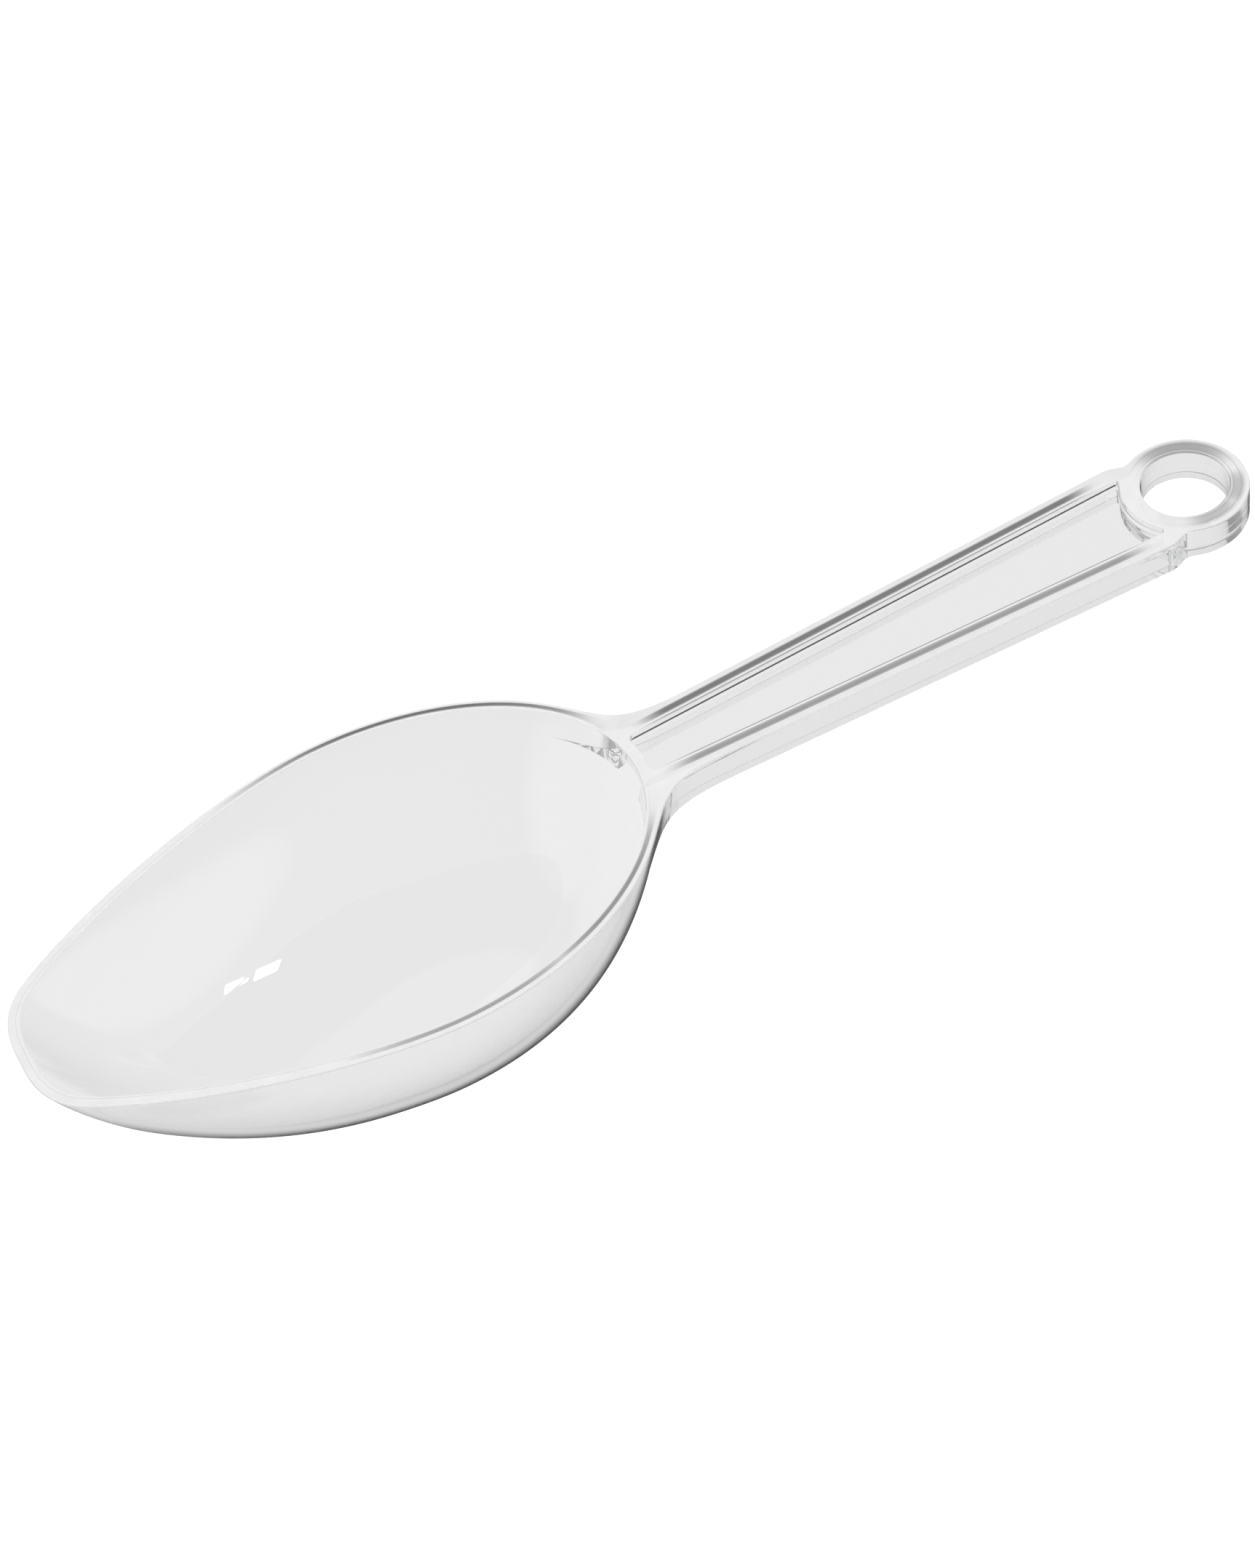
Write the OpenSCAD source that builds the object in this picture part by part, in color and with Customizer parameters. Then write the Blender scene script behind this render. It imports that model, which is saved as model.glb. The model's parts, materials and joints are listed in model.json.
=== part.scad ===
// Clear moulded scoop for ice or sweets.
// Frame: X runs from the front lip (-X) to the hanging ring (+X), Z is up,
// the XZ plane is the plane of symmetry; "left" nodes lie at +Y, "right" at -Y.
// The origin is the centre of the hanging hole, on the flat top face that the
// rim, the handle and the ring share.
// The real article is one moulding, so the nodes below are its regions:
// they meet face to face and never overlap.

/* [Bowl] */
// Distance from the hanging hole to the widest section of the bowl
wide_x = 141.8; // [130:0.5:150]
// Half width of the bowl's mouth at its widest section
bowl_half_w = 31; // [26:0.5:36]
// Length of the mouth in front of the widest section, up to the tip of the lip
nose_len = 61.2; // [55:0.5:68]
// Length of the mouth behind the widest section, up to the handle
back_len = 43.1; // [38:0.5:46]
// Depth of the bowl, outside, below the rim
bowl_depth = 37; // [28:0.5:42]
// Distance from the hanging hole to the deepest point of the bowl
deep_x = 156.1; // [150:0.1:160]
// Thickness of the bowl's wall
wall_t = 1.9; // [1.4:0.1:2.4]
// Half width of the blunt front lip, where it meets the sides
lip_half_w = 13.2; // [11:0.2:15]
// Setback of the lip's corners behind its tip
lip_setback = 5.6; // [4.5:0.1:7]
// Angle at which the sides run into the lip, from the centre line
lip_angle = 33; // [28:1:38]

/* [Bowl section] */
// Fullness of the sides, from 0.45 boxy to 0.6 pointed
side_shape = 0.5; // [0.45:0.01:0.6]
// Steepness of the nose, from 0.8 steep to 1.1 shallow
nose_shape = 0.943; // [0.8:0.001:1.1]
// Steepness of the back, from 0.8 steep to 1.1 shallow
back_shape = 0.89; // [0.8:0.01:1.1]
// Flatness of the floor towards the nose
nose_floor = 2.36; // [2:0.01:3]
// Flatness of the floor towards the back
back_floor = 5; // [3:0.1:6]

/* [Handle] */
// Half width of the handle, projected to the hanging hole
handle_half_w = 10.3; // [9.6:0.1:10.8]
// Narrowing of that half width for each millimetre towards the bowl
handle_taper = 0.032; // [0.02:0.001:0.04]
// Width of each side wall of the handle
side_wall_w = 3.1; // [2.4:0.1:3.6]
// Full depth of the handle and the ring
handle_depth = 6; // [5:0.1:8]
// Depth of the panel below the side walls, and height of the rim band
recess = 1; // [0.6:0.1:1.6]
// Thickness of the panel
web_t = 1.8; // [1.2:0.1:2.4]
// Distance from the hanging hole to where the neck begins to flare
flare_x = 86; // [82:1:90]
// Depth of the waist between side walls and ring
waist = 0.6; // [0.2:0.1:1]

/* [Hanging ring] */
// Radius of the hanging hole
hole_r = 7; // [5:0.1:7.5]
// Outer radius of the ring
ring_r = 10.25; // [9.8:0.05:11]

/* [Hidden] */
$fn = 96;
clear_body = [0.86, 0.89, 0.91, 0.45];
clear_edge = [0.74, 0.78, 0.81, 0.6];
cut_over = 1;                       // how far a cutter runs past each face

// places along X
widest_x = -wide_x;
back_x = widest_x + back_len;       // back of the mouth, where the panel meets it
tip_x = widest_x - nose_len;
floor_x = -deep_x;                  // deepest point
neck_x = -flare_x;
waist_start_x = -9.2;               // side walls leave their taper here
waist_x = -6.4;
wall_end_x = -4.2;
web_end_x = -5;                     // before the ring is cut away

// --- helpers ----------------------------------------------------------------
function unit(v) = v / norm(v);
function bezier(p, q, r, s, t) =
    pow(1-t, 3)*p + 3*pow(1-t, 2)*t*q + 3*(1-t)*t*t*r + t*t*t*s;

// half widths of the handle and of its panel at x
function handle_w(x) = handle_half_w + handle_taper * x;
function panel_w(x) = handle_w(x) - side_wall_w;

// two triangles; a-b and c-d are opposite edges
function quad(a, b, c, d) = [[a, b, c], [b, d, c]];

// --- plan outline of the mouth ----------------------------------------------
lip_corner = [tip_x + lip_setback, lip_half_w];
lip_dir = [cos(lip_angle), sin(lip_angle)];
// reaches of the Bezier handles
side_reach = 0.252 * nose_len;      // at the widest section
side_lip_reach = 0.276 * nose_len;  // behind the lip's corner
lip_reach = 7.45;                   // in front of the lip's corner
tip_reach = 2.35;                   // across the tip

// angles on the back ellipse: edge of the handle's panel, start of the flare
panel_angle = asin(panel_w(back_x) / bowl_half_w);
flare_angle = 34;

// steps in each stretch of the half outline, and indices where stretches end
panel_steps = 2;
neck_steps = 6;
back_steps = 8;
side_steps = 16;
lip_steps = 7;
panel_end = panel_steps;
flare_end = panel_end + neck_steps;
lip_start = flare_end + back_steps + side_steps;
tip_index = lip_start + lip_steps;
loop_n = 2 * tip_index;

// points on the back ellipse, without the last one
function back_arc(from, to, steps) = [for (i = [0:steps-1])
    let (a = from + (to - from)*i/steps)
    [widest_x + back_len*cos(a), bowl_half_w*sin(a)]];

half_outline = concat(
    back_arc(0, panel_angle, panel_steps),
    back_arc(panel_angle, flare_angle, neck_steps),
    back_arc(flare_angle, 90, back_steps),
    [for (i = [0:side_steps-1])
        bezier([widest_x, bowl_half_w], [widest_x - side_reach, bowl_half_w],
               lip_corner + side_lip_reach*lip_dir, lip_corner, i/side_steps)],
    [for (i = [0:lip_steps])
        bezier(lip_corner, lip_corner - lip_reach*lip_dir,
               [tip_x, tip_reach], [tip_x, 0], i/lip_steps)]);
outline = concat(half_outline,
    [for (i = [1:tip_index-1]) let (p = half_outline[tip_index-i]) [p.x, -p.y]]);

// the same outline moved inwards by the wall thickness
function loop_at(k) = outline[(k + loop_n) % loop_n];
inline = [for (k = [0:loop_n-1])
    let (dir = unit(loop_at(k+1) - loop_at(k-1)))
    outline[k] + wall_t*[-dir.y, dir.x]];

// --- bowl surface: the outline shrinks towards the deepest point with depth --
// -1 at the tip of the lip, 0 at the deepest point, 1 at the back
function toward(k) = let (dx = outline[k].x - floor_x)
    dx < 0 ? dx/(floor_x - tip_x) : dx/(back_x - floor_x);

// blend of a nose, a side and a back value at outline point k
function blend(k, nose, side, back) =
    let (nose_part = pow(max(-toward(k), 0), 2.5),
         back_part = pow(max(toward(k), 0), 2))
    nose*nose_part + back*back_part + side*(1 - nose_part - back_part);

// scale of the outline at the given fraction of the depth
function shrink(k, fraction) = fraction <= 0 ? 1 :
    pow(1 - pow(fraction, 1/blend(k, nose_shape, side_shape, back_shape)),
        1/blend(k, nose_floor, 2, back_floor));

// levels at which other regions meet the bowl, then even steps of angle to the floor
meet_z = [0, -recess, -recess - web_t, -handle_depth];
meet_last = len(meet_z) - 1;
meet_angle = asin(handle_depth / bowl_depth);
deep_steps = 9;
function level_z(j, depth) = j <= meet_last ? meet_z[j] :
    -depth * sin(meet_angle + (90 - meet_angle)*(j - meet_last)/deep_steps);

// point k round the bowl, on level j down it
function bowl_pt(curve, depth, k, j) =
    let (index = (k + loop_n) % loop_n, z = level_z(j, depth),
         p = curve[index], s = shrink(index, -z/depth))
    [floor_x + (p.x - floor_x)*s, p.y*s, z];
function outer_pt(k, j) = bowl_pt(outline, bowl_depth, k, j);
function inner_pt(k, j) = bowl_pt(inline, bowl_depth - wall_t, k, j);

// closed solid through a row of grids of points, from grids[0] on its outer side
// to the last on its inner side; in grids[s][i][j], i runs along and j down
module wall_solid(grids) {
    e = len(grids) - 1;
    n = len(grids[0]) - 1;
    m = len(grids[0][0]) - 1;
    function v(s, i, j) = (s*(n+1) + i)*(m+1) + j;
    points = [for (grid = grids) for (column = grid) each column];
    outer_and_inner = [for (i = [0:n-1]) for (j = [0:m-1]) each concat(
        quad(v(0,i,j), v(0,i+1,j), v(0,i,j+1), v(0,i+1,j+1)),
        quad(v(e,i,j), v(e,i,j+1), v(e,i+1,j), v(e,i+1,j+1)))];
    top_and_bottom = [for (s = [0:e-1]) for (i = [0:n-1]) each concat(
        quad(v(s,i,0), v(s+1,i,0), v(s,i+1,0), v(s+1,i+1,0)),
        quad(v(s,i,m), v(s,i+1,m), v(s+1,i,m), v(s+1,i+1,m)))];
    ends = [for (s = [0:e-1]) for (j = [0:m-1]) each concat(
        quad(v(s,0,j), v(s,0,j+1), v(s+1,0,j), v(s+1,0,j+1)),
        quad(v(s,n,j), v(s+1,n,j), v(s,n,j+1), v(s+1,n,j+1)))];
    polyhedron(points = points, faces = concat(outer_and_inner, top_and_bottom, ends));
}

// --- regions ----------------------------------------------------------------
// wall and floor of the bowl, below the rim band
module bowl_shell() {
    rows = meet_last + deep_steps - 1;   // levels from 1 to the last above the floor
    last = rows - 1;
    points = concat(
        [for (j = [1:rows]) for (k = [0:loop_n-1]) outer_pt(k, j)],
        [for (j = [1:rows]) for (k = [0:loop_n-1]) inner_pt(k, j)],
        [[floor_x, 0, -bowl_depth], [floor_x, 0, -(bowl_depth - wall_t)]]);
    function out(k, r) = r*loop_n + k % loop_n;
    function in(k, r) = out(k, rows + r);
    floor_out = 2*rows*loop_n;
    floor_in = floor_out + 1;
    walls = [for (k = [0:loop_n-1]) for (r = [0:last-1]) each concat(
        quad(out(k,r), out(k+1,r), out(k,r+1), out(k+1,r+1)),
        quad(in(k,r), in(k,r+1), in(k+1,r), in(k+1,r+1)))];
    top_and_floor = [for (k = [0:loop_n-1]) each concat(
        quad(out(k,0), in(k,0), out(k+1,0), in(k+1,0)),
        [[out(k,last), out(k+1,last), floor_out],
         [in(k,last), floor_in, in(k+1,last)]])];
    color(clear_body) polyhedron(points = points, faces = concat(walls, top_and_floor));
}

// stretch of the mouth's edge between two outline indices
module mouth_edge(from, to)
    wall_solid([[for (k = [from:to]) [for (j = [0:1]) outer_pt(k, j)]],
                [for (k = [from:to]) [for (j = [0:1]) inner_pt(k, j)]]]);

// flat band round the mouth, level with the handle's top
module rim_band() color(clear_edge) mouth_edge(-lip_start, lip_start);

// blunt nose of the rim
module front_lip() color(clear_edge) mouth_edge(lip_start, loop_n - lip_start);

// flare that carries one side wall of the handle into the bowl
module neck() {
    handle_reach = 13.7;            // Bezier reaches of the flare at its two ends
    bowl_reach = 10.5;
    straight_steps = 8;             // inner side, along the panel
    steps = straight_steps + neck_steps - 1;
    start = [neck_x, handle_w(neck_x)];
    inner_start = [neck_x, panel_w(neck_x)];
    outer = [for (i = [0:steps]) [for (j = [0:meet_last])
        let (p = outer_pt(flare_end, j), q = outer_pt(flare_end + 1, j),
             end = [p.x, p.y], dir = unit(end - [q.x, q.y]),
             f = bezier(start, start + handle_reach*[-1, -handle_taper],
                        end + bowl_reach*dir, end, i/steps))
        [f.x, f.y, meet_z[j]]]];
    inner = [for (i = [0:steps]) [for (j = [0:meet_last])
        let (p = outer_pt(panel_end, j),
             f = inner_start + ([p.x, p.y] - inner_start)*i/straight_steps)
        i >= straight_steps ? outer_pt(panel_end + i - straight_steps, j) :
            [f.x, f.y, meet_z[j]]]];
    wall_solid([outer, inner]);
}
module neck_left() color(clear_body) neck();
module neck_right() color(clear_body) mirror([0, 1, 0]) neck();

// upright cutter through the handle's full depth, centred on the hole
module round_cutter(radius)
    translate([0, 0, -handle_depth - cut_over])
        cylinder(r = radius, h = handle_depth + 2*cut_over);

// full-depth side wall, from the neck to the ring
module side_wall() difference() {
    translate([0, 0, -handle_depth]) linear_extrude(handle_depth)
        polygon([[neck_x, handle_w(neck_x)],
                 [waist_start_x, handle_w(waist_start_x)],
                 [waist_x, handle_w(waist_x) - waist],
                 [wall_end_x, sqrt(ring_r*ring_r - wall_end_x*wall_end_x)],
                 [wall_end_x, panel_w(wall_end_x)],
                 [neck_x, panel_w(neck_x)]]);
    round_cutter(ring_r);
}
module side_wall_left() color(clear_body) side_wall();
module side_wall_right() color(clear_body) mirror([0, 1, 0]) side_wall();

// thin panel between the side walls, open underneath
module handle_web() color(clear_body) difference() {
    across = [-panel_end:panel_end];
    wall_solid(concat(
        [for (x = [web_end_x, neck_x])
            [for (i = across) [for (j = [1:2]) [x, panel_w(x)*i/panel_end, meet_z[j]]]]],
        [[for (i = across) [for (j = [1:2]) outer_pt(i, j)]]]));
    round_cutter(ring_r);
}

// thick ring with the round hole the scoop hangs by
module hanging_ring() color(clear_edge) difference() {
    translate([0, 0, -handle_depth]) cylinder(r = ring_r, h = handle_depth);
    round_cutter(hole_r);
}

bowl_shell();
rim_band();
front_lip();
neck_left();
neck_right();
side_wall_left();
side_wall_right();
handle_web();
hanging_ring();
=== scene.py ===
"""A clear plastic scoop on a pale floor.

The flat top faces lie at z = 0. The handle runs along x, with the hanging hole's centre at
the origin and the bowl's tip at the far -x end. The body is symmetric about y = 0: its
y >= 0 half is built in millimetres, then mirrored and welded.
"""
import json
import math

import bmesh
import bpy
import numpy as np
from mathutils import Matrix, Vector
from mathutils.geometry import delaunay_2d_cdt


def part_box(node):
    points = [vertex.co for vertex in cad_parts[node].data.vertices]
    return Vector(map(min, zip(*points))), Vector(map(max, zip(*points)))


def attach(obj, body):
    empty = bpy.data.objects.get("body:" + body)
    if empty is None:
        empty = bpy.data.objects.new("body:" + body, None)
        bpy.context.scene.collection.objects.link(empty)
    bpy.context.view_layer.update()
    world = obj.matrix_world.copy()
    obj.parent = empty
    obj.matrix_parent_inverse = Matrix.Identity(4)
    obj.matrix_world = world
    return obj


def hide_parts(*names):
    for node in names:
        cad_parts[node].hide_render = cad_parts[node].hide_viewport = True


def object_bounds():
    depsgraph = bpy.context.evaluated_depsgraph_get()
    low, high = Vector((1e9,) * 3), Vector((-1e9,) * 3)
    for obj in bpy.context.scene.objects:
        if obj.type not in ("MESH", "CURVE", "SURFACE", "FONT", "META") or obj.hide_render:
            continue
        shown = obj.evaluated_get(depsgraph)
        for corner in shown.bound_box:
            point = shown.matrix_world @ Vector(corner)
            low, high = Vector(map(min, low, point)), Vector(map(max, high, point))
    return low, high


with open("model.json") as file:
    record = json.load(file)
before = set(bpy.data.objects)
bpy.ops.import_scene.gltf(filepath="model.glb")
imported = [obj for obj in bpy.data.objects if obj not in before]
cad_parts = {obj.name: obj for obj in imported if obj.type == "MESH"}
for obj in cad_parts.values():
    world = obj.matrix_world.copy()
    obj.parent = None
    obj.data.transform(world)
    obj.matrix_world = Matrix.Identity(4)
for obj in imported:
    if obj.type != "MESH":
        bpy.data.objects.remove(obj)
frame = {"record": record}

cad_box = [list(v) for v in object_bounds()]
MM = 0.001
scene = bpy.context.scene

# ------------------------------------------------------------------ dimensions, mm
X_TIP = cad_box[0][0] / MM - 0.03
HALF_W = cad_box[1][1] / MM
DEPTH = -cad_box[0][2] / MM
RING_R = cad_box[1][0] / MM
HANDLE_DEPTH = -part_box("hanging_ring")[0][2] / MM
HOLE_R = frame["record"]["mounts"][0]["dims"]["r_mm"]
WIDE_X = -141.8              # where the bowl is widest
BACK = 43.1                  # from there to the bowl's handle end
BOWL_END = WIDE_X + BACK
DEEP_X = -156.1              # where the bowl is deepest
WALL = 1.9
DEPTH_IN = DEPTH - WALL
RECESS = 1.0                 # depth of the recess on top of the handle
WEB = 1.8                    # plastic between the recess and the pocket underneath
CEILING_Z = -(RECESS + WEB)
RAIL_W = 3.1                 # width of the handle's two side rails
HANDLE_HALF, HANDLE_SLOPE = 10.3, 0.032    # half width at x = 0, and its growth along x
EDGE = 0.42                  # rounding of the outer edges
FOOT = 0.28                  # rounding inside the handle's two pockets
LOW_EDGE = 0.14              # rounding of the edges underneath
REC_EDGE = 0.18              # rounding of the recess's upper edge
CORNER_R = 0.6               # plan rounding where the pockets meet ring and rail
FLARE_X = -86.0              # where the straight rails meet the neck
FLARE_ANGLE = 34.0           # where the neck leaves the bowl, in degrees round its back

# For a quarter circle in seven steps: the share already covered, and the share remaining
# in the other direction
QUARTER = [(1 - math.cos(math.radians(15 * i)), 1 - math.sin(math.radians(15 * i)))
           for i in range(7)]


# ------------------------------------------------------------------ plan curves
def handle_y(x):
    return HANDLE_HALF + HANDLE_SLOPE * x


def rail_inner_y(x):
    return handle_y(x) - RAIL_W


def bezier(p, q, r, s, t):
    t = np.asarray(t, float)[..., None]
    return (1 - t) ** 3 * p + 3 * (1 - t) ** 2 * t * q + 3 * (1 - t) * t * t * r + t ** 3 * s


def plan_normals(points, first, last=None, side=1):
    """Unit normals of a plan curve, to its left (side 1) or right (-1); ends can be fixed."""
    along = np.gradient(points, axis=0)
    along /= np.linalg.norm(along, axis=1)[:, None]
    normals = side * np.stack([-along[:, 1], along[:, 0]], 1)
    normals[0] = first
    if last is not None:
        normals[-1] = last
    return normals


def lift(plan, z):
    z = np.broadcast_to(np.asarray(z, float), (len(plan),))
    return np.column_stack([plan, z])


def shifted(plan, normals, distance, z):
    """A plan curve moved along its normals and placed at z."""
    return lift(plan + np.reshape(distance, (-1, 1)) * normals, z)


def ease(x):
    x = np.clip(x, 0, 1)
    return x * x * (3 - 2 * x)


# ------------------------------------------------------------------ bowl outline
# y >= 0, from the handle end (y = 0) round the side to the tip (y = 0)
panel_angle = math.degrees(math.asin(rail_inner_y(BOWL_END) / HALF_W))
N_PANEL, N_FLARE, N_BACK, N_SIDE, N_LIP = 8, 22, 36, 90, 26
PANEL_END = N_PANEL              # index where the rail's inner line meets the bowl
NECK = N_PANEL + N_FLARE         # index of the neck's root


def back_arc(start, stop, count):
    angle = np.radians(np.linspace(start, stop, count, endpoint=False))
    return np.stack([WIDE_X + BACK * np.cos(angle), HALF_W * np.sin(angle)], -1)


nose = WIDE_X - X_TIP
lip = np.array([X_TIP + 5.6, 13.2])
LIP_ANGLE = math.radians(33)
lip_dir = np.array([math.cos(LIP_ANGLE), math.sin(LIP_ANGLE)])
outline = np.concatenate([
    back_arc(0, panel_angle, N_PANEL),
    back_arc(panel_angle, FLARE_ANGLE, N_FLARE),
    back_arc(FLARE_ANGLE, 90, N_BACK),
    bezier(np.array([WIDE_X, HALF_W]), np.array([WIDE_X - 0.252 * nose, HALF_W]),
           lip + 0.276 * nose * lip_dir, lip, np.linspace(0, 1, N_SIDE, endpoint=False)),
    bezier(lip, lip - 7.45 * lip_dir, np.array([X_TIP, 2.35]), np.array([X_TIP, 0.0]),
           np.linspace(0, 1, N_LIP + 1)),
])
TIP = len(outline) - 1
WHOLE = np.arange(0, TIP + 1)
outline[0, 1] = 0.0
rim_normals = plan_normals(outline, (-1, 0), (1, 0))      # into the bowl
inline = outline + WALL * rim_normals
inline[0, 1] = inline[-1, 1] = 0.0

# ------------------------------------------------------------------ bowl shell
# Below the rim the outline shrinks towards DEEP_X. Two powers shape the section, each
# mixed from a value at the nose, one at the side and one at the back.
from_deep = np.where(outline[:, 0] < DEEP_X, (outline[:, 0] - DEEP_X) / (DEEP_X - X_TIP),
                     (outline[:, 0] - DEEP_X) / (BOWL_END - DEEP_X))
nose_share = np.where(from_deep < 0, np.abs(from_deep) ** 2.5, 0)
back_share = np.where(from_deep > 0, np.abs(from_deep) ** 2.0, 0)
side_share = 1 - nose_share - back_share


def mixed_power(nose, side, back):
    return nose * nose_share + side * side_share + back * back_share


inner_power = mixed_power(nose=2.36, side=2.0, back=5.0)
outer_power = mixed_power(nose=0.943, side=0.5, back=0.89)


def shrink_at(k, z, depth):
    sunk = np.clip(-np.asarray(z, float) / depth, 0, 1)
    return (1 - sunk ** (1 / outer_power[k])) ** (1 / inner_power[k])


def shrunk(curve, k, shrink, z):
    point = curve[k]
    return np.stack([DEEP_X + (point[..., 0] - DEEP_X) * shrink, point[..., 1] * shrink, z], -1)


def shell_at(curve, depth, k, z):
    """Shell points below the curve's points k, at heights z."""
    k, z = np.broadcast_arrays(k, z)
    return shrunk(curve, k, shrink_at(k, z, depth), z)


def outer_at(k, z):
    return shell_at(outline, DEPTH, k, z)


def deep_rows(curve, depth, z_start, count=64):
    """Rows from z_start down to the deepest point, evenly spaced in angle."""
    start = np.arccos(shrink_at(WHOLE, z_start, depth))
    rows = []
    for j in range(1, count + 1):
        shrink = np.cos(start + (math.pi / 2 - start) * j / count)
        shrink = np.where(np.abs(shrink) < 1e-9, 0, shrink)
        z = -depth * (1 - shrink ** inner_power) ** outer_power
        rows.append(shrunk(curve, WHOLE, shrink, z))
    return rows


# ------------------------------------------------------------------ surface collector
verts, faces = [], []


def grid(rows):
    """Quads between successive rows of points."""
    base = sum(len(v) for v in verts)
    n = len(rows[0])
    verts.append(np.concatenate(rows))
    for j in range(len(rows) - 1):
        a = base + j * n
        b = a + n
        for i in range(n - 1):
            faces.append((a + i, a + i + 1, b + i + 1, b + i))


def flat(loop, z):
    """Triangles inside a closed plan curve at one height."""
    points = [loop[0]]
    for p in loop[1:]:
        if math.dist(p, points[-1]) > 1e-6:
            points.append(p)
    if math.dist(points[0], points[-1]) < 1e-6:
        points.pop()
    _, _, triangles, origins, _, _ = delaunay_2d_cdt(
        [Vector(p) for p in points], [], [list(range(len(points)))], 1, 1e-7)
    base = sum(len(v) for v in verts)
    verts.append(lift(np.array(points), z))
    for triangle in triangles:
        faces.append(tuple(base + origins[i][0] for i in triangle))


def rounded_edge(plan, normals, wall_at):
    """Rows from the flat top, over a rounding tangent to it, onto the wall.

    Normals point into the flat; wall_at gives the wall's points for an array of heights.
    """
    corner = lift(plan, 0)
    top = shifted(plan, normals, EDGE, 0)
    # the height at which the wall is one rounding length away from the corner
    z = np.full(len(plan), -EDGE)
    for _ in range(6):
        z = z * EDGE / np.linalg.norm(wall_at(z) - corner, axis=1)
    wall = wall_at(z)
    pull = 0.5523            # makes the Bezier curve follow a quarter circle
    top_pull, wall_pull = top + (corner - top) * pull, wall + (corner - wall) * pull
    return [bezier(top, top_pull, wall_pull, wall, np.full(len(top), t))
            for t in np.linspace(0, 1, 7)]


# ------------------------------------------------------------------ neck, handle, ring plan
Z_LEVELS = [-0.9, -1.5, -2.1, -2.8, -3.6, -4.4, -5.2]
N_NECK = 40
RAIL_DIR = np.array([1, HANDLE_SLOPE])
RAIL_END_X = -9.2            # where the straight rail ends beside the ring
RING_START_X = -4.2          # where the ring's own circle starts

neck_share = np.linspace(0, 1, N_NECK + 1)
rail_x = np.linspace(FLARE_X, RAIL_END_X, 60)[1:]
rail = np.stack([rail_x, handle_y(rail_x)], 1)
ring_start = np.array([RING_START_X, math.sqrt(RING_R ** 2 - RING_START_X ** 2)])
ring_tangent = np.array([ring_start[1], -RING_START_X]) / RING_R
waist = bezier(rail[-1], rail[-1] + 2.2 * RAIL_DIR, ring_start - 2.3 * ring_tangent,
               ring_start, np.linspace(0, 1, 16)[1:])
ring_angle = np.linspace(math.atan2(ring_start[1], ring_start[0]), 0, 64)[1:]
ring = RING_R * np.stack([np.cos(ring_angle), np.sin(ring_angle)], 1)
ring[-1, 1] = 0
upright = np.concatenate([rail, waist, ring])     # the same plan at every height


def neck_curve(z):
    """The neck's outer line, each of its points at its own height."""
    root = outer_at(NECK, z)[:, :2]
    along = outer_at(NECK - 1, z)[:, :2] - outer_at(NECK + 1, z)[:, :2]
    along /= np.linalg.norm(along, axis=1)[:, None]
    end = np.array([FLARE_X, handle_y(FLARE_X)])
    return bezier(root, root + 10.5 * along, end - 13.7 * RAIL_DIR, end, neck_share)


def handle_plan(z):
    """Outer wall in plan from the neck's root to the ring's end."""
    z = np.broadcast_to(np.asarray(z, float), (N_NECK + 1 + len(upright),))
    return np.concatenate([neck_curve(z[:N_NECK + 1]), upright])


def handle_at(z):
    return lift(handle_plan(z), z)


# ------------------------------------------------------------------ the body's surfaces
def outer_wall():
    """Outer side; returns the top edges of bowl and handle and the handle's low edge."""
    side = np.arange(NECK, TIP + 1)
    plan = handle_plan(0.0)
    around = np.concatenate([outline[TIP:NECK:-1], plan])
    normals = plan_normals(around, (1, 0), (-1, 0), side=-1)
    handle_normals = normals[TIP - NECK:]

    bowl_rows = rounded_edge(outline[side], normals[TIP - side], lambda z: outer_at(side, z))
    grid(bowl_rows + [outer_at(side, z) for z in Z_LEVELS + [-HANDLE_DEPTH]])

    handle_rows = rounded_edge(plan, handle_normals, handle_at)
    # the low rounding grows from nothing at the neck's root
    growth = ease(np.arange(N_NECK + 1) / (0.75 * N_NECK))
    radius = LOW_EDGE * np.concatenate([growth, np.ones(len(upright))])
    low = handle_plan(-HANDLE_DEPTH + radius)
    low_normals = plan_normals(low, handle_normals[0], (-1, 0), side=-1)
    low_rows = [shifted(low, low_normals, radius * gone, -HANDLE_DEPTH + radius * rest)
                for gone, rest in QUARTER]
    grid(handle_rows + [handle_at(z) for z in Z_LEVELS] + low_rows)
    return bowl_rows[0][:, :2], handle_rows[0][:, :2], low_rows[-1][:, :2]


def bowl_inside():
    """Inner surface; returns its top edge."""
    rows = rounded_edge(inline, -rim_normals,
                        lambda z: shell_at(inline, DEPTH_IN, WHOLE, z))
    grid(rows + deep_rows(inline, DEPTH_IN, rows[-1][:, 2]))
    return rows[0][:, :2]


def bowl_outside():
    """The panel that closes the pocket's bowl end, then everything below the handle."""
    panel = np.arange(0, PANEL_END + 1)
    levels = [z for z in Z_LEVELS if z <= CEILING_Z + 1e-9] + [-HANDLE_DEPTH]
    grid([outer_at(panel, z) for z in levels])
    grid([outer_at(WHOLE, -HANDLE_DEPTH)] + deep_rows(outline, DEPTH, -HANDLE_DEPTH))


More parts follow.
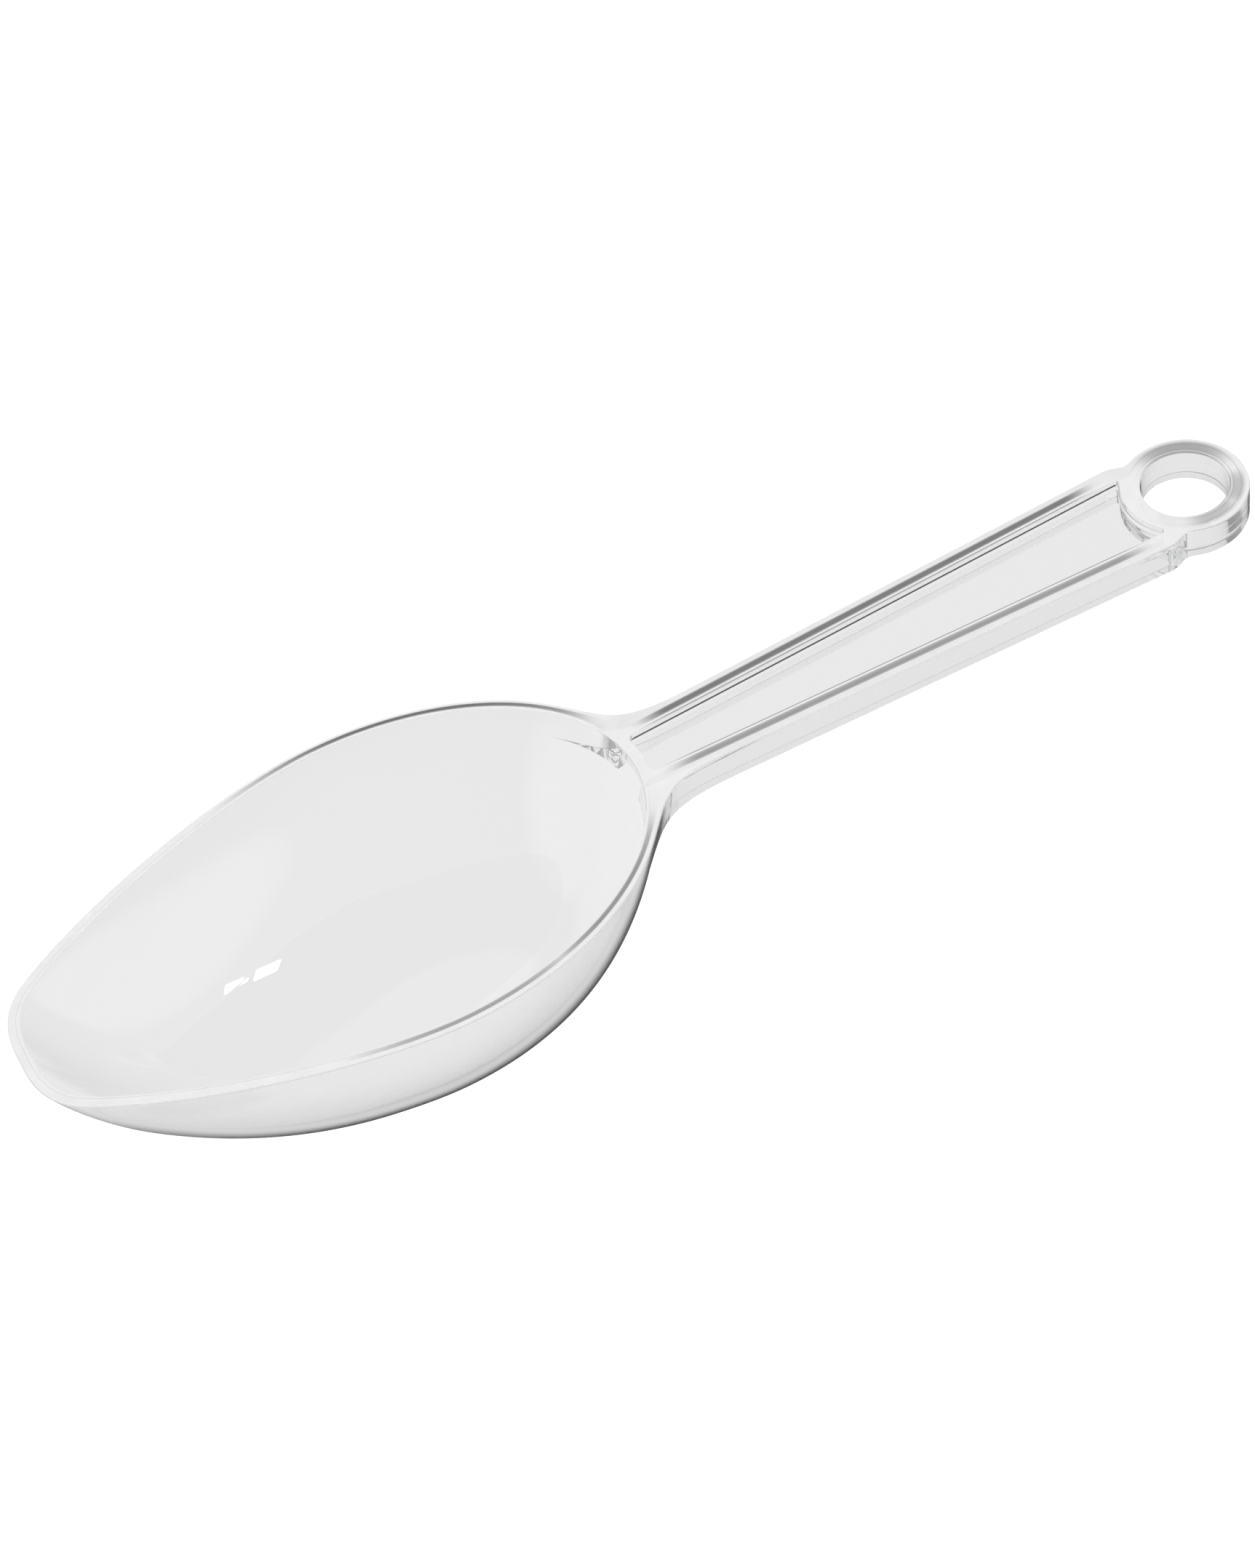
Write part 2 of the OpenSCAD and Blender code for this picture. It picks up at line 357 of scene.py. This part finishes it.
def ring_corner(n_arc=24, n_corner=10):
    """From (-RING_R, 0) up the ring's circle and round the corner to the rail's inner line."""
    slope, reach = HANDLE_SLOPE, RING_R + CORNER_R
    # the corner's centre lies CORNER_R below the line and CORNER_R outside the circle
    height = (HANDLE_HALF - RAIL_W) - CORNER_R * math.sqrt(1 + slope * slope)
    a, b, c = 1 + slope * slope, 2 * slope * height, height * height - reach ** 2
    centre_x = (-b - math.sqrt(b * b - 4 * a * c)) / (2 * a)
    centre = np.array([centre_x, height + slope * centre_x])
    touch = centre * RING_R / reach
    angle = np.linspace(math.pi, math.atan2(touch[1], touch[0]), n_arc)
    arc = RING_R * np.stack([np.cos(angle), np.sin(angle)], 1)
    arc[0, 1] = 0
    start = math.atan2(touch[1] - centre[1], touch[0] - centre[0])
    angle = np.linspace(start, math.atan2(1, -slope), n_corner + 1)[1:]
    return np.concatenate([arc, centre + CORNER_R * np.stack([np.cos(angle), np.sin(angle)], 1)])


pocket_head = ring_corner()


def inner_rail(x_to, count):
    """The rail's inner line from the ring's corner towards the bowl."""
    x = np.linspace(pocket_head[-1, 0], x_to, count)[1:]
    return np.stack([x, rail_inner_y(x)], 1)


def recess():
    """Recess on top, closed by a curved wall at the bowl end; returns its top edge."""
    x_end, cut = -98.65, 0.9     # end wall on the centreline; length of the cut corner

    def end_x(y):
        return x_end - 0.0235 * y * y

    y_corner = rail_inner_y(x_end)
    corner = np.array([end_x(y_corner), rail_inner_y(end_x(y_corner))])
    before = np.array([x_end + cut, rail_inner_y(x_end + cut)])
    after = np.array([end_x(y_corner - cut), y_corner - cut])
    turn = bezier(before, before + (corner - before) * 0.55, after + (corner - after) * 0.55,
                  after, np.linspace(0, 1, 9)[1:])
    y = np.linspace(after[1], 0, 10)[1:]
    end = np.stack([end_x(y), y], 1)
    plan = np.concatenate([pocket_head, inner_rail(before[0], 50), turn, end])
    normals = plan_normals(plan, (1, 0), (-1, 0), side=-1)     # away from the recess
    rows = [shifted(plan, normals, REC_EDGE * rest, -REC_EDGE * gone) for gone, rest in QUARTER]
    rows += [shifted(plan, normals, -FOOT * gone, -RECESS + FOOT * rest)
             for gone, rest in QUARTER]
    grid(rows)
    flat(rows[-1][:, :2], -RECESS)
    return rows[0][:, :2]


def low_pocket():
    """Pocket open downwards, its bowl end the bowl's own outside; returns its low edge."""
    straight = np.concatenate([pocket_head, inner_rail(FLARE_X, 44)])
    n_last = 14
    n_all = len(straight) + n_last

    def plan_at(z):
        z = np.broadcast_to(np.asarray(z, float), (n_all,))
        on_bowl = outer_at(PANEL_END, z[-n_last:])[:, :2]
        t = (np.arange(1, n_last + 1) / n_last)[:, None]
        return np.concatenate([straight, straight[-1] + (on_bowl - straight[-1]) * t])

    # both roundings fade out towards the bowl
    fade = np.concatenate([np.ones(n_all - n_last - 1),
                           ease(np.arange(n_last, -1, -1) / n_last * 1.6)])
    normals = plan_normals(plan_at(-4.0), (1, 0), side=-1)     # away from the pocket
    edge, foot = LOW_EDGE * fade, FOOT * fade
    rows = []
    for gone, rest in QUARTER:
        z = -HANDLE_DEPTH + edge * gone
        rows.append(shifted(plan_at(z), normals, edge * rest, z))
    for z in (-5.2, -4.4, -3.6):
        rows.append(lift(plan_at(z), z))
    for gone, rest in QUARTER:
        z = CEILING_Z - foot * rest
        rows.append(shifted(plan_at(z), normals, -foot * gone, z))
    grid(rows)
    panel = outer_at(np.arange(PANEL_END, -1, -1), CEILING_Z)[1:, :2]
    ceiling = np.concatenate([rows[-1][:, :2], panel])
    ceiling[-1, 1] = 0
    flat(ceiling, CEILING_Z)
    return rows[0][:, :2]


def hanging_hole():
    """The hole through the ring; returns its top and low edges."""
    angle = np.linspace(0, math.pi, 97)
    unit = np.stack([np.cos(angle), np.sin(angle)], 1)
    unit[0, 1] = unit[-1, 1] = 0
    rows = [lift(unit * (HOLE_R + EDGE * rest), -EDGE * gone) for gone, rest in QUARTER]
    rows += [lift(unit * HOLE_R, z) for z in (-2, -4)]
    rows += [lift(unit * (HOLE_R + EDGE * gone), -HANDLE_DEPTH + EDGE * rest)
             for gone, rest in QUARTER]
    grid(rows)
    return rows[0][:, :2], rows[-1][:, :2]


bowl_top, handle_top, handle_low = outer_wall()
inner_top = bowl_inside()
bowl_outside()
recess_top = recess()
pocket_low = low_pocket()
hole_top, hole_low = hanging_hole()
flat(np.concatenate([bowl_top[::-1], handle_top[1:], hole_top, recess_top, inner_top]), 0)
root_low = outer_at(np.arange(PANEL_END, NECK + 1), -HANDLE_DEPTH)[:, :2]
flat(np.concatenate([root_low, handle_low[1:], hole_low, pocket_low[:-1]]), -HANDLE_DEPTH)


# ------------------------------------------------------------------ weld, mirror, orient
def welded_mesh(name):
    """The half body and its mirror image, with points that coincide made one."""
    half = np.concatenate(verts)
    half[np.abs(half[:, 1]) < 1e-5, 1] = 0
    both = np.round(np.concatenate([half, half * [1, -1, 1]]), 5)
    points, index = np.unique(both, axis=0, return_inverse=True)
    index = index.ravel()
    seen, polygons = set(), []
    for offset, order in ((0, 1), (len(half), -1)):
        for face in faces:
            corners = list(dict.fromkeys(int(index[i + offset]) for i in face))[::order]
            key = tuple(sorted(corners))
            if len(corners) < 3 or key in seen:
                continue
            seen.add(key)
            polygons.append(corners)
    used = sorted({i for polygon in polygons for i in polygon})
    new_index = {old: i for i, old in enumerate(used)}
    mesh = bpy.data.meshes.new(name)
    mesh.from_pydata((points[used] * MM).tolist(), [],
                     [[new_index[i] for i in polygon] for polygon in polygons])
    return mesh


def corner_normals(bm):
    """Flat faces keep their own normal; curved ones are averaged within a smooth patch."""
    is_flat = []
    for f in bm.faces:
        zs = [v.co.z for v in f.verts]
        level = len(f.verts) == 3 and max(zs) - min(zs) < 1e-9 and abs(f.normal.z) > 0.9999
        # the triangles at the bowl's two deepest points belong to its curve
        is_flat.append(level and abs(zs[0] / MM + DEPTH) > 0.5
                       and abs(zs[0] / MM + DEPTH_IN) > 0.5)
    area = [f.calc_area() for f in bm.faces]
    join_flat, join_smooth = math.cos(math.radians(30)), math.cos(math.radians(40))
    normals = []
    for f in bm.faces:
        for v in f.verts:
            if is_flat[f.index]:
                normals.append(f.normal.copy())
                continue
            chosen = None
            total = Vector((0, 0, 0))
            for other in v.link_faces:
                alike = other.normal.dot(f.normal)
                if is_flat[other.index]:
                    if alike > join_flat:
                        chosen = other.normal.copy()
                elif alike > join_smooth:
                    total += other.normal * area[other.index]
            if chosen is None:
                chosen = total.normalized() if total.length > 0 else f.normal.copy()
            normals.append(chosen)
    return normals


def mark_across(mesh):
    """Attribute "across": 1 on the rim's inner rounding, 0 elsewhere."""
    inner = np.concatenate([inner_top, inner_top * [1, -1]])
    across = mesh.attributes.new("across", "FLOAT", "POINT")
    co = np.empty(len(mesh.vertices) * 3, np.float32)
    mesh.vertices.foreach_get("co", co)
    co = co.reshape(-1, 3) / MM
    value = np.zeros(len(co), np.float32)
    for i in np.nonzero((co[:, 2] > -EDGE - 0.1) & (co[:, 0] < -98))[0]:
        value[i] = np.hypot(*(inner - co[i, :2]).T).min() < EDGE + 0.05
    across.data.foreach_set("value", value)


mesh = welded_mesh("scoop_body")
bm = bmesh.new()
bm.from_mesh(mesh)
bmesh.ops.recalc_face_normals(bm, faces=bm.faces)
# consistent normals can still all point inwards
if bm.calc_volume(signed=True) < 0:
    bmesh.ops.reverse_faces(bm, faces=bm.faces)
bm.faces.ensure_lookup_table()
bm.normal_update()
shading_normals = corner_normals(bm)
bm.to_mesh(mesh)
bm.free()
mark_across(mesh)
mesh.polygons.foreach_set("use_smooth", [True] * len(mesh.polygons))
mesh.normals_split_custom_set([tuple(n) for n in shading_normals])
mesh.update()
body = bpy.data.objects.new("scoop_body", mesh)
scene.collection.objects.link(body)


# ------------------------------------------------------------------ shader helpers
class Nodes:
    """Builds one node tree. As an input value, a node stands for its first output."""

    def __init__(self, owner):
        owner.use_nodes = True
        self.tree = owner.node_tree
        self.tree.nodes.clear()

    def add(self, kind, inputs=None, **settings):
        made = self.tree.nodes.new("ShaderNode" + kind)
        for name, value in settings.items():
            setattr(made, name, value)
        for key, value in (inputs or {}).items():
            if isinstance(value, bpy.types.Node):
                value = value.outputs[0]
            if isinstance(value, bpy.types.NodeSocket):
                self.tree.links.new(value, made.inputs[key])
            else:
                made.inputs[key].default_value = value
        return made

    def math(self, operation, *values):
        return self.add("Math", dict(enumerate(values)), operation=operation).outputs[0]

    def times(self, first, *others):
        for other in others:
            first = self.math("MULTIPLY", first, other)
        return first

    def linear(self, value, gain, base):
        return self.math("ADD", self.times(value, gain), base)

    def inverse(self, value):
        return self.math("SUBTRACT", 1.0, value)

    def remap(self, value, low, high, to_low=0.0, to_high=1.0, kind="LINEAR"):
        limits = {"From Min": low, "From Max": high, "To Min": to_low, "To Max": to_high}
        return self.add("MapRange", {**limits, "Value": value},
                        interpolation_type=kind).outputs["Result"]

    def step(self, value, low, high, to_low=0.0, to_high=1.0):
        return self.remap(value, low, high, to_low, to_high, kind="SMOOTHSTEP")

    def between(self, value, low, high, soft):
        return self.times(self.step(value, low - soft, low + soft),
                          self.inverse(self.step(value, high - soft, high + soft)))

    def pick(self, choose, a, b):
        """a where choose is 0, b where it is 1."""
        return self.math("ADD", self.times(a, self.inverse(choose)), self.times(b, choose))

    def dot(self, direction, axis):
        return self.add("VectorMath", {0: direction, 1: Vector(axis).normalized()},
                        operation="DOT_PRODUCT").outputs["Value"]

    def mix(self, factor, a, b):
        return self.add("MixShader", {0: factor, 1: a, 2: b})


# ------------------------------------------------------------------ clear plastic
GUIDED_AFTER = 11.5                    # bounces after which a painted even glow stands in for the light
PAINTED_LIGHT_TONE, PAINTED_DARK_TONE = 0.86, 0.12     # painted light and painted shade, emitted on the top edges
# painted shade standing for dark cards beside the scoop, seen in its edges; no cards are in the
# scene: heading in plan and half spread in degrees, strength
PAINTED_SHADE_CARDS = [(60, 70, 1.0), (-40, 30, 0.8), (-90, 40, 0.7)]


def plain_plastic(n, rays, coord):
    """Glass with fine handling marks; clear to shadow and diffuse rays; past many bounces a
    painted even glow stands in for light.
    """
    haze = n.add("TexNoise", {"Scale": 60, "Detail": 4, "Vector": coord})
    gloss = n.remap(haze, low=0.35, high=0.75, to_low=0.003, to_high=0.014)
    ripple = n.add("TexNoise", {"Scale": 45, "Detail": 1, "Vector": coord})
    bump = n.add("Bump", {"Strength": 0.06, "Distance": 0.0006, "Height": ripple})
    glass = n.add("BsdfPrincipled", {
        "Base Color": (0.925, 0.926, 0.928, 1), "IOR": 1.55, "Transmission Weight": 1.0,
        "Roughness": gloss, "Normal": bump})
    clear = n.add("BsdfTransparent", {"Color": (0.95, 0.952, 0.955, 1)})
    soft_ray = n.math("MAXIMUM", rays["Is Shadow Ray"], rays["Is Diffuse Ray"])
    painted_guided_glow = n.add("Emission", {"Color": (0.985, 0.99, 1.0, 1), "Strength": 0.82})
    deep = n.math("GREATER_THAN", rays["Ray Depth"], GUIDED_AFTER)
    return n.mix(deep, n.mix(soft_ray, glass, clear), painted_guided_glow)


def painted_card_shade(n, faces_to):
    """How much painted shade, standing for dark cards seen in the edge, an edge facing a plan
    angle takes up.
    """
    painted_card_share = None
    for heading, spread, strength in PAINTED_SHADE_CARDS:
        near = n.math("COSINE", n.math("SUBTRACT", faces_to, math.radians(heading)))
        one = n.times(n.step(near, math.cos(math.radians(spread)), 1.0), strength)
        painted_card_share = one if painted_card_share is None else n.math("MAXIMUM", painted_card_share, one)
    return painted_card_share


def clear_plastic():
    mat = bpy.data.materials.new("clear_plastic")
    n = Nodes(mat)
    out = n.add("OutputMaterial")
    rays = n.add("LightPath").outputs
    camera_ray = rays["Is Camera Ray"]
    coord = n.add("TexCoord").outputs["Object"]
    px, py, pz = n.add("SeparateXYZ", {0: coord}).outputs
    normal = n.add("NewGeometry").outputs["Normal"]
    plastic = plain_plastic(n, rays, coord)

    # Painted light and painted shade on the top edges of rim, rails and ring follow one rule:
    # how far across the edge a point lies, 0 outside to 1 inside, and which way that stretch
    # faces in plan.
    is_handle = n.math("GREATER_THAN", px, BOWL_END * MM)
    is_ring = n.math("GREATER_THAN", px, -HOLE_R * MM)

    def by_part(rim, rail, ring):
        return n.pick(is_ring, n.pick(is_handle, rim, rail), ring)

    half = n.linear(px, gain=HANDLE_SLOPE, base=HANDLE_HALF * MM)
    rail_across = n.math("DIVIDE", n.math("SUBTRACT", half, n.math("ABSOLUTE", py)),
                         RAIL_W * MM)
    radius = n.math("SQRT", n.math("ADD", n.times(px, px), n.times(py, py)))
    ring_across = n.math("DIVIDE", n.math("SUBTRACT", RING_R * MM, radius),
                         (RING_R - HOLE_R) * MM)
    rim_across = n.add("Attribute", attribute_name="across").outputs["Fac"]
    across = by_part(rim_across, rail_across, ring_across)
    painted_card_share = painted_card_shade(n, by_part(
        rim=n.math("ARCTAN2", py, n.math("SUBTRACT", px, WIDE_X * MM)),
        rail=n.times(n.math("SIGN", py), math.pi / 2),
        ring=n.math("ARCTAN2", py, px)))

    # the painted dark tone dies away where rim, rails and ring run into each other
    run = by_part(
        rim=n.inverse(n.step(px, low=(BOWL_END - 7) * MM, high=(BOWL_END - 1) * MM)),
        rail=n.between(px, low=(BOWL_END + 4) * MM, high=(-RING_R - 4) * MM, soft=3.5 * MM),
        ring=n.step(px, low=-HOLE_R * MM, high=-1 * MM))
    wide = n.between(across, low=0.25, high=0.88, soft=0.12)
    narrow = n.between(across, low=0.42, high=0.74, soft=0.04)
    painted_dark_core = n.times(by_part(wide, narrow, n.times(wide, 0.6)), run)
    painted_inner_line = n.times(n.between(across, low=0.90, high=0.97, soft=0.03), run)
    painted_border_lines = n.times(
        n.math("MAXIMUM", n.between(across, low=0.38, high=0.42, soft=0.015),
               n.between(across, low=0.74, high=0.78, soft=0.015)),
        is_handle, run, n.linear(painted_card_share, gain=0.3, base=0.45))
    painted_lines = n.math("MAXIMUM", painted_border_lines,
                   n.times(painted_inner_line, n.linear(painted_card_share, gain=0.5, base=0.3)))
    # painted light and painted shade: the tone is emitted and seen only by the camera on the top
    # faces
    painted_tone = n.add("Mix", {
        "Factor": n.math("MAXIMUM", n.times(painted_dark_core, painted_card_share), painted_lines),
        "A": (PAINTED_LIGHT_TONE, PAINTED_LIGHT_TONE, PAINTED_LIGHT_TONE * 1.004, 1),
        "B": (PAINTED_DARK_TONE, PAINTED_DARK_TONE, PAINTED_DARK_TONE * 1.004, 1)}, data_type="RGBA")
    painted_glow_streaks = n.add("TexNoise", {"Scale": 240, "Detail": 3, "Vector": coord})
    glow = n.add("Emission", {"Color": painted_tone.outputs["Result"],
                              "Strength": n.linear(painted_glow_streaks, gain=0.14, base=0.93)})
    normal_z = n.add("SeparateXYZ", {0: normal}).outputs["Z"]
    painted_glow_share = 0.9
    painted_top_glow = n.times(n.math("GREATER_THAN", pz, -0.5 * MM),
                     n.step(normal_z, low=0.35, high=0.85), camera_ray, painted_glow_share)

    # painted shade: a thin dark line at the foot of the recess, beside the rails, where the
    # crease lies in shade
    foot = n.times(
        n.between(rail_across, low=0.98, high=1.06, soft=0.015),
        n.between(pz, low=(-RECESS - 0.25) * MM, high=(-RECESS + 0.2) * MM, soft=0.04 * MM),
        is_handle, n.inverse(is_ring), camera_ray, n.linear(painted_card_share, gain=0.6, base=0.4))

    # painted shade: walls seen edge-on darken where they turn to the dark side
    facing = n.add("LayerWeight", {"Blend": 0.5}).outputs["Facing"]
    to_dark = n.dot(normal, (0.45, -0.70, -0.55))
    painted_shade_share = 0.9
    painted_edge_shade = n.times(n.step(facing, low=0.76, high=0.92),
                      n.step(to_dark, low=0.30, high=0.75), camera_ray, painted_shade_share)
    # a dark emitted colour, the painted shade of the recess foot and of edge-on walls
    shade = n.add("Emission", {"Color": (0.07, 0.07, 0.072, 1)})

    lit = n.mix(painted_top_glow, plastic, glow)
    final = n.mix(n.math("MAXIMUM", painted_edge_shade, foot), lit, shade)
    n.tree.links.new(final.outputs[0], out.inputs["Surface"])
    return mat


mesh.materials.append(clear_plastic())

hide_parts(*[s["node"] for s in frame["record"]["subparts"]])
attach(body, "root")

# ------------------------------------------------------------------ the light tent
# What any ray but the camera's own meets, by direction: dim, with broad white screens.
# Each screen: axis, reach and core in degrees, level
SCREENS = [
    ((0.14, 0.60, -0.79), 46, 24, 1.0),      # below, towards +y
    ((0.0, 1.0, -0.10), 50, 26, 1.0),        # +y side
    ((-0.64, 0.64, -0.35), 50, 24, 1.0),     # between -x and +y, low
    ((-1.0, 0.05, -0.08), 46, 22, 0.95),     # -x side
    ((0.70, -0.70, -0.20), 34, 18, 0.85),    # between +x and -y
    ((0.0, 0.0, -1.0), 45, 25, 1.0),         # straight below
    ((0.20, 0.62, 0.76), 40, 22, 0.95),      # above, towards +y
]
DARK_PATCH = ((0.1, -0.45, -0.89), 45, 20, 0.6)     # same columns, dims what it covers
THROUGH = 0.925      # share that passes the plastic
REGAIN = 1.16        # light mirrored between walls gives back what further walls take
ROOM = 0.40          # unlit directions, seen through the plastic
MIRROR = 0.22        # the surroundings as mirrored on its surface, relative to seen through


def lobe(n, direction, axis, reach, painted_dark_core, outside, inside):
    return n.step(n.dot(direction, axis), low=math.cos(math.radians(reach)),
                  high=math.cos(math.radians(painted_dark_core)), to_low=outside, to_high=inside)


def tent(n, direction):
    """Brightness met along a direction."""
    rays = n.add("LightPath").outputs
    total = None
    for axis, reach, painted_dark_core, level in SCREENS:
        one = lobe(n, direction, axis, reach, painted_dark_core, outside=0.0, inside=level)
        total = one if total is None else n.math("MAXIMUM", total, one)
    axis, reach, painted_dark_core, level = DARK_PATCH
    dark = lobe(n, direction, axis, reach, painted_dark_core, outside=1.0, inside=level)
    seen = n.math("MAXIMUM", n.times(total, dark), ROOM)
    gain = n.remap(rays["Transmission Depth"], low=2.0, high=4.0,
                   to_low=THROUGH, to_high=THROUGH * REGAIN)
    dim = n.remap(rays["Is Reflection Ray"], low=0.0, high=1.0, to_low=1.0, to_high=MIRROR)
    return n.times(seen, gain, dim)


# ------------------------------------------------------------------ floor
FLOOR_GLOW = 0.85
FLOOR_HALF = 6.0                          # metres
floor_z = cad_box[0][2] - 0.3 * MM        # just clear of the bowl


def pale_floor():
    mat = bpy.data.materials.new("pale_floor")
    n = Nodes(mat)
    diffuse = n.add("BsdfDiffuse", {"Color": (0.5, 0.5, 0.5, 1)})
    glow = n.add("Emission", {"Color": (1, 1, 1, 1), "Strength": FLOOR_GLOW})
    to_camera = n.add("AddShader", {0: diffuse, 1: glow})
    incoming = n.add("NewGeometry").outputs["Incoming"]
    direction = n.add("VectorMath", {0: incoming, "Scale": -1.0}, operation="SCALE")
    to_others = n.add("Emission", {"Color": tent(n, direction)})
    camera_ray = n.add("LightPath").outputs["Is Camera Ray"]
    n.add("OutputMaterial", {"Surface": n.mix(camera_ray, to_others, to_camera)})
    return mat


floor_mesh = bpy.data.meshes.new("floor")
floor_mesh.from_pydata([(FLOOR_HALF * x, FLOOR_HALF * y, floor_z)
                        for x, y in ((-1, -1), (1, -1), (1, 1), (-1, 1))], [], [(0, 1, 2, 3)])
floor = bpy.data.objects.new("floor", floor_mesh)
scene.collection.objects.link(floor)
floor_mesh.materials.append(pale_floor())

# ------------------------------------------------------------------ world
world = bpy.data.worlds.new("studio")
scene.world = world
sky = Nodes(world)
sky_color = sky.add("Mix", {
    "Factor": sky.add("LightPath").outputs["Is Camera Ray"],
    "A": tent(sky, sky.add("TexCoord").outputs["Generated"]),
    "B": (1.02, 1.02, 1.02, 1)}, data_type="RGBA")
background = sky.add("Background", {"Color": sky_color.outputs["Result"], "Strength": 1.0})
sky.add("OutputWorld", {"Surface": background})


# ------------------------------------------------------------------ lights
def softbox(name, at, aim, width, height, watts, mirror=True):
    """Rectangular light hidden from the camera; mirror lets the plastic show it."""
    data = bpy.data.lights.new(name, "AREA")
    data.shape = "RECTANGLE"
    data.size, data.size_y = width, height
    data.energy = watts
    light = bpy.data.objects.new(name, data)
    light.location = Vector(at)
    light.rotation_euler = (Vector(aim) - Vector(at)).to_track_quat("-Z", "Y").to_euler()
    light.visible_camera = False
    light.visible_glossy = mirror
    light.visible_transmission = mirror
    scene.collection.objects.link(light)
    return light


def mirrored_light(name, spot, direction, width, height, level, turn, reach=1.2):
    """A light seen mirrored at one spot (mm); level is its brightness, turn in degrees."""
    aim = Vector(spot) * MM
    at = aim + Vector(direction).normalized() * reach
    light = softbox(name, at, aim, width, height, watts=level * math.pi * width * height)
    rolled = light.rotation_euler.to_matrix() @ Matrix.Rotation(math.radians(turn), 3, "Z")
    light.rotation_euler = rolled.to_euler()


softbox("fill_top", at=(-0.1, 0, 1.6), aim=(-0.1, 0, 0), width=2.2, height=2.2, watts=22,
        mirror=False)
mirrored_light("key_1", spot=(-167.4, 15.4, -25.3), direction=(0.631, -0.678, 0.378),
               width=0.06, height=0.14, level=12.0, turn=45)
mirrored_light("key_2", spot=(-162.0, 16.1, -26.8), direction=(0.514, -0.706, 0.487),
               width=0.085, height=0.15, level=12.0, turn=45)

# ------------------------------------------------------------------ camera
CAMERA_AT = (-0.2056620820110448, -0.3153316784587666, 0.38448274160498175)
# the camera's own axes in the scene: right, up, and backwards from the view
CAMERA_AXES = (
    (0.8769024534370451, -0.46017522668083793, -0.13885549288857987),
    (0.4358681592526091, 0.6394866686572906, 0.633305414756058),
    (-0.20263522622148702, -0.6158697600620117, 0.7613431576728897),
)
camera_data = bpy.data.cameras.new("camera")
camera_data.sensor_fit = "AUTO"
camera_data.sensor_width = 36
camera_data.lens = 76.2259675
camera_data.clip_start, camera_data.clip_end = 0.01, 50
camera = bpy.data.objects.new("camera", camera_data)
pose = Matrix(CAMERA_AXES).transposed().to_4x4()
pose.translation = Vector(CAMERA_AT)
camera.matrix_world = pose
scene.collection.objects.link(camera)
scene.camera = camera

# ------------------------------------------------------------------ render settings
scene.view_settings.view_transform = "Standard"
scene.view_settings.look = "None"
scene.cycles.max_bounces = 18
scene.cycles.transmission_bounces = 18
scene.cycles.glossy_bounces = 18
scene.cycles.transparent_max_bounces = 24
scene.cycles.sample_clamp_indirect = 6.0
